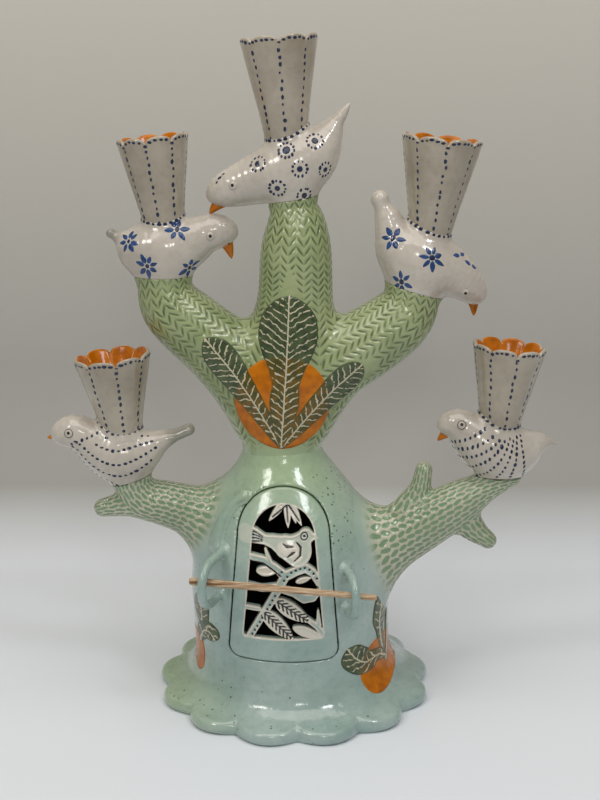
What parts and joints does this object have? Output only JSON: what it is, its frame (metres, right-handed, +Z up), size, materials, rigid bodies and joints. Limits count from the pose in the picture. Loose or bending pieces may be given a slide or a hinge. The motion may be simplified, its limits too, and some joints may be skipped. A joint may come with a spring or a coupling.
{
  "type": "clay tree of life candelabra",
  "caption": "Glazed clay tree of life: domed hollow trunk with a pierced door held by a wooden bar, limbs and branches, and birds that each carry a candle cup.",
  "frame": {"origin": "centre of the underside of the foot plate", "axes": "+Z up, -Y the front with the door, +X to the right seen from the front"},
  "size_m": [0.3564, 0.1992, 0.4697],
  "materials": {
    "celadon_glaze": "glossy celadon glaze",
    "green_glaze": "glossy green glaze over pressed marks",
    "cream_glaze": "glossy clear glaze over cream slip",
    "orange_glaze": "glossy orange underglaze",
    "navy_glaze": "glossy navy underglaze",
    "raw_wood": "raw split wood"
  },
  "bodies": {
    "tree": {"base_plate": "celadon_glaze", "trunk_shell": "celadon_glaze", "crown_limb_centre": "green_glaze", "crown_limb_left": "green_glaze", "crown_limb_right": "green_glaze", "branch_left": "green_glaze", "branch_right": "green_glaze", "doorway_coil": "celadon_glaze", "bar_loop_left": "celadon_glaze", "bar_loop_right": "celadon_glaze", "lower_left_body": "cream_glaze", "lower_left_cup": "cream_glaze", "lower_left_beak": "orange_glaze", "lower_left_eyes": "navy_glaze", "lower_left_tail": "cream_glaze", "lower_right_body": "cream_glaze", "lower_right_cup": "cream_glaze", "lower_right_beak": "orange_glaze", "lower_right_eyes": "navy_glaze", "lower_right_tail": "cream_glaze", "top_body": "cream_glaze", "top_cup": "cream_glaze", "top_beak": "orange_glaze", "top_eyes": "navy_glaze", "top_tail": "cream_glaze", "upper_left_body": "cream_glaze", "upper_left_cup": "cream_glaze", "upper_left_beak": "orange_glaze", "upper_left_eyes": "navy_glaze", "upper_left_tail": "cream_glaze", "upper_right_body": "cream_glaze", "upper_right_cup": "cream_glaze", "upper_right_beak": "orange_glaze", "upper_right_eyes": "navy_glaze", "upper_right_tail": "cream_glaze"},
    "door": {"door_panel": "celadon_glaze"},
    "bar": {"locking_bar": "raw_wood"}
  },
  "joints": [
    {"name": "bar_slide", "type": "slide", "parent": "tree", "child": "bar", "axis": [-0.9954, 0, 0.0958], "range_m": [0, 0.13]},
    {"name": "door_play", "type": "slide", "parent": "tree", "child": "door", "axis": [0, -1, 0], "range_m": [0, 0.0025]}
  ]
}
